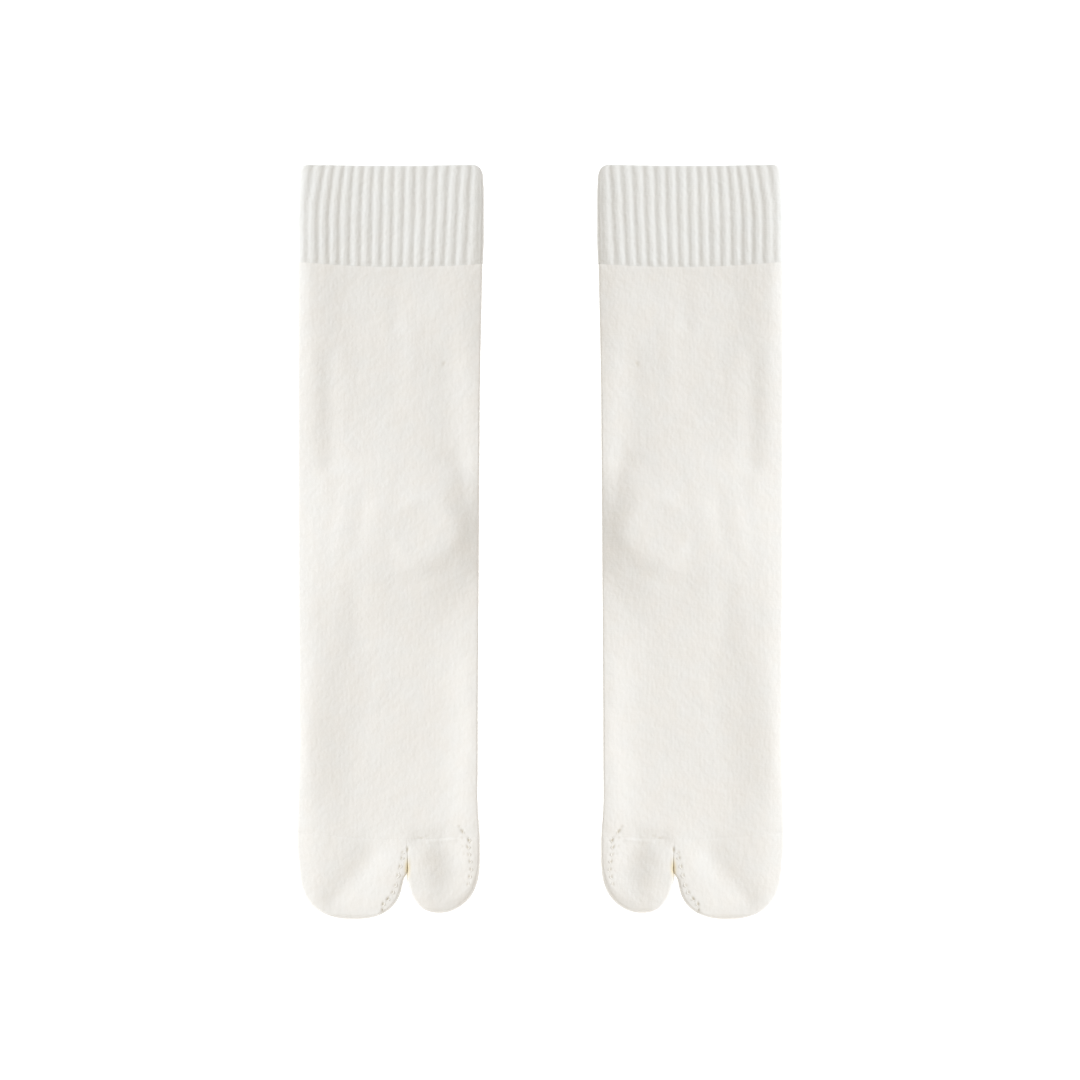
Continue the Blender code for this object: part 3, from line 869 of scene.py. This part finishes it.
def cuffLoop(nominal, depth, ribbed):
    # The cuff's loops at nominal places down it, depth inside the cloth. The grooves
    # are sunk at right angles to the loop.
    nominal, depth = asColumn(nominal), asColumn(depth)
    outer, inner = cuffEdges(nominal, ribbed)
    ringX, ringLevel, phase = ribRing()
    x = drawnIn(ringX + 0.0 * nominal, ringX.max(), inner - depth, cuff["innerCorner"])
    x = -drawnIn(-x, -ringX.min(), -outer - depth, cuff["outerCorner"])
    x = x + ribShift(x, nominal)
    ease = easeDown(cuffLine - nominal, seams["cuffEase"])
    down = nominal + (cuffSeam(x) - cuffLine) * ease
    sag = cuff["sag"] * easeDown(nominal, cuff["sagReach"])
    down = down + sag * np.clip(1.0 - (x / cuff["sagHalf"]) ** 2, 0.0, 1.0)
    crest = cuff["crest"] * (1.0 - easeDown(cuffLine - nominal, cuff["crestEase"]))
    low, high = keptApart(soleHeight(x, down) + depth, topHeight(x, down) + crest - depth)
    z = low + ringLevel * (high - low)
    if ribbed:
        ripple = grooveDepth(phase, down, nominal, x - outer, inner - x)
        alongX = np.roll(x, -1, axis=1) - np.roll(x, 1, axis=1)
        alongZ = np.roll(z, -1, axis=1) - np.roll(z, 1, axis=1)
        size = np.hypot(alongX, alongZ)
        x, z = x - alongZ / size * ripple, z + alongX / size * ripple
    return np.stack([x, down, np.maximum(z, 0.0)], axis=-1)


def makeCuff(side):
    # The outside from the mouth to the seam, then the inside back to it, with a quarter
    # circle on each side of the mouth's lip.
    lipTurns = np.linspace(0.0, math.pi / 2, 6)
    lipDown = cuff["lip"] * (1.0 - np.sin(lipTurns))
    lipIn = cuff["lip"] * (1.0 - np.cos(lipTurns))
    end = cuffLine - seamGap
    even = np.linspace(cuff["lip"] + 0.5, end - 1.2, cuff["rows"])
    last = end - np.array([0.9, 0.5, 0.2, 0.03, 0.0])
    outDown = np.concatenate([lipDown[::-1], even, last])
    outDepth = np.append(lipIn[::-1], np.zeros(len(even) + len(last)))
    inDown = np.append(np.linspace(end - 0.3, 2.0, cuff["innerRows"]), lipDown[1:])
    inDepth = np.append(np.full(cuff["innerRows"], cuff["wall"]), cuff["wall"] - lipIn[1:])
    outward = cuffLoop(outDown, outDepth, True)
    inward = cuffLoop(inDown, inDepth, False)
    points = np.concatenate([outward, inward[:-1]])
    uv = knitMap(points, count=4 * cuff["ribs"])
    return skin("cuff", side, points, uv, np.zeros(points.shape[:2]), ribCloth, "joined")


# The linking thread: it runs in loops outside a line of open stitches, over each one
# and down between them.
thread = {
    "radius": 0.22, "sides": 8,
    "bend": 9,                    # how many rings each half loop has
    "out": 0.8, "in": -0.3,       # how far it swings each way from the line
    "lift": (-0.2, 0.75),         # how high it lies, and how far it goes over and under
    "upper": 2.6,                 # a pocket's upper side is above this height
    "lines": [(3, 11, 1.0), (17, 26, 1.0)],    # first and last slit, and the loops' side
}


def heightAt(surface, x, down):
    # The height of the nearest point on a surface's upper side.
    points = surface.reshape(-1, 3)
    points = points[points[:, 2] > thread["upper"]]
    away = np.hypot(x[:, None] - points[:, 0], down[:, None] - points[:, 1])
    return points[away.argmin(axis=1), 2]


def threadLine(surface, places, direction):
    # Knots on the line's slits and between them, joined by a smooth curve.
    places = np.array([slit[:2] for slit in places])
    between = (places[1:] + places[:-1]) / 2
    heading = np.gradient(places, axis=0)
    heading /= np.hypot(*heading.T)[:, None]
    outward = np.stack([heading[:, 1], -heading[:, 0]], axis=1) * direction
    atSlits = places + outward * thread["out"]
    atGaps = between + (outward[1:] + outward[:-1]) / 2 * thread["in"]
    knots = np.empty((len(atSlits) + len(atGaps), 2))
    knots[0::2], knots[1::2] = atSlits, atGaps
    stations = np.arange(len(knots), dtype=float)
    fine = np.linspace(0.0, len(knots) - 1.0, (len(knots) - 1) * thread["bend"] + 1)
    x, down = (along(np.column_stack([stations, knots[:, k]]), "value", fine,
                     ["station", "value"]) for k in (0, 1))
    lies, swings = thread["lift"]
    lift = thread["radius"] * (lies + swings * np.cos(math.pi * fine))
    return np.stack([x, down, heightAt(surface, x, down) + lift], axis=1)


def cordSkin(paths, name, side):
    # Round cords along the paths, closed at both ends, as one piece.
    vertices, faces = [], []
    sides = thread["sides"]
    turn = 2.0 * math.pi * np.arange(sides) / sides
    for path in paths:
        ahead = np.gradient(path, axis=0)
        ahead /= np.linalg.norm(ahead, axis=1)[:, None]
        across = np.cross(ahead, [0.0, 0.0, 1.0])
        across /= np.linalg.norm(across, axis=1)[:, None]
        across, above = across[:, None], np.cross(across, ahead)[:, None]
        circle = across * np.cos(turn)[:, None] + above * np.sin(turn)[:, None]
        ends = np.minimum(np.arange(len(path)), np.arange(len(path))[::-1])
        radius = thread["radius"] * np.sqrt(np.clip((ends + 0.3) / 2.0, 0.0, 1.0))
        rings = path[:, None] + radius[:, None, None] * circle
        start = sum(len(part) for part in vertices)
        here = start + np.arange(len(path) * sides).reshape(len(path), sides)
        beside = np.roll(here, -1, axis=1)
        quads = np.stack([here[:-1], here[1:], beside[1:], beside[:-1]], axis=-1).reshape(-1, 4)
        caps = [here[0].tolist(), here[-1][::-1].tolist()]
        if side < 0:
            quads, caps = quads[:, ::-1], [cap[::-1] for cap in caps]
        vertices.append(place(rings, side).reshape(-1, 3))
        faces += quads.tolist() + caps
    return shaped(name, np.concatenate(vertices).tolist(), faces, plainCloth)


def makeThreads(side):
    # One sock's two cords, the big toe's and the four toes'.
    big, four = (surfaces[sideName[side], name] for name in ("big_toe", "four_toes"))
    paths = [threadLine(surface, slits[first:last], turn)
             for surface, (first, last, turn) in zip((big, four), thread["lines"])]
    return cordSkin(paths, sideName[side] + "_linking_thread", side)


pieces, threads = {}, {}
for side in (-1, 1):
    label = sideName[side]
    pieces[label, "cuff"] = makeCuff(side)
    pieces[label, "leg_foot"] = makeLegFoot(side)
    for pocket in (fourToes, bigToe, heelPocket):
        pieces[label, pocket["node"]] = makePocket(pocket, side)
    threads[label] = makeThreads(side)
    print(label, "sock made")

# Each piece hangs from the root body, and the imported part it stands for is hidden.
for (label, part), piece in pieces.items():
    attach(piece, "root")
    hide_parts(label + "_" + part)
for piece in threads.values():
    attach(piece, "root")

# White paper under the socks, soft light from both sides, and a camera straight above.
studio = {
    "floorReach": 3.0,
    "paper": {"Base Color": (0.85, 0.85, 0.85, 1.0), "Roughness": 0.9,
              "Emission Color": (1.0, 1.0, 1.0, 1.0), "Emission Strength": 0.5},
    "fill": 0.585, "fillColour": (1.04, 1.0, 0.945, 1.0),
    "key": 318.0, "keyColour": (0.93, 1.0, 1.10),
    "keyPlace": (5.25, 2.55, 2.85), "keySize": (2.4, 2.4),
    "toeLight": 2.1, "toePlace": (0.0, -0.75, 0.80), "toeSize": 0.5,
    "lens": 135.0, "cameraPlace": (-0.00025, 0.000875, 2.030),
}


def makeFloor():
    # A level square, which glows a little so that it stays white.
    paper, _ = newMaterial("whitePaper", studio["paper"])
    reach = studio["floorReach"]
    corners = [(-reach, -reach, 0), (reach, -reach, 0), (reach, reach, 0), (-reach, reach, 0)]
    floor = shaped("floor", corners, [(0, 1, 2, 3)], paper)
    return floor


def areaLight(name, energy, place, aim):
    # A square light that faces the point it is aimed at.
    data = bpy.data.lights.new(name, "AREA")
    data.energy = energy
    light = linked(name, data)
    light.location = place
    light.rotation_euler = (Vector(aim) - Vector(place)).to_track_quat("-Z", "Y").to_euler()
    return light


def makeKey(side, floor):
    # A soft light low on the sock's outer side, which lights that sock and the floor.
    label = sideName[side]
    x, y, z = studio["keyPlace"]
    light = areaLight("key_" + label, studio["key"], (side * x, y, z),
                      (side * sockCentre * mm, 0.0, 0.0))
    light.data.shape = "RECTANGLE"
    light.data.size, light.data.size_y = studio["keySize"]
    light.data.color = studio["keyColour"]
    lit = bpy.data.collections.new("lit_" + label)
    for (sock, _), piece in pieces.items():
        if sock == label:
            lit.objects.link(piece)
    lit.objects.link(threads[label])
    lit.objects.link(floor)
    light.light_linking.receiver_collection = lit


floor = makeFloor()
for side in (-1, 1):
    makeKey(side, floor)
# A weak light on the toes' side, so that they are a little the brightest.
toeLight = areaLight("toeLight", studio["toeLight"], studio["toePlace"], (0.0, 0.0, 0.0))
toeLight.data.size = studio["toeSize"]
world = bpy.data.worlds.new("studio")
world.use_nodes = True
background = world.node_tree.nodes["Background"]
background.inputs["Color"].default_value = studio["fillColour"]
background.inputs["Strength"].default_value = studio["fill"]
scene = bpy.context.scene
scene.world = world
scene.view_settings.view_transform = "Standard"
lens = bpy.data.cameras.new("camera")
lens.lens = studio["lens"]
camera = linked("camera", lens)
camera.location = studio["cameraPlace"]
scene.camera = camera

print("scene made")
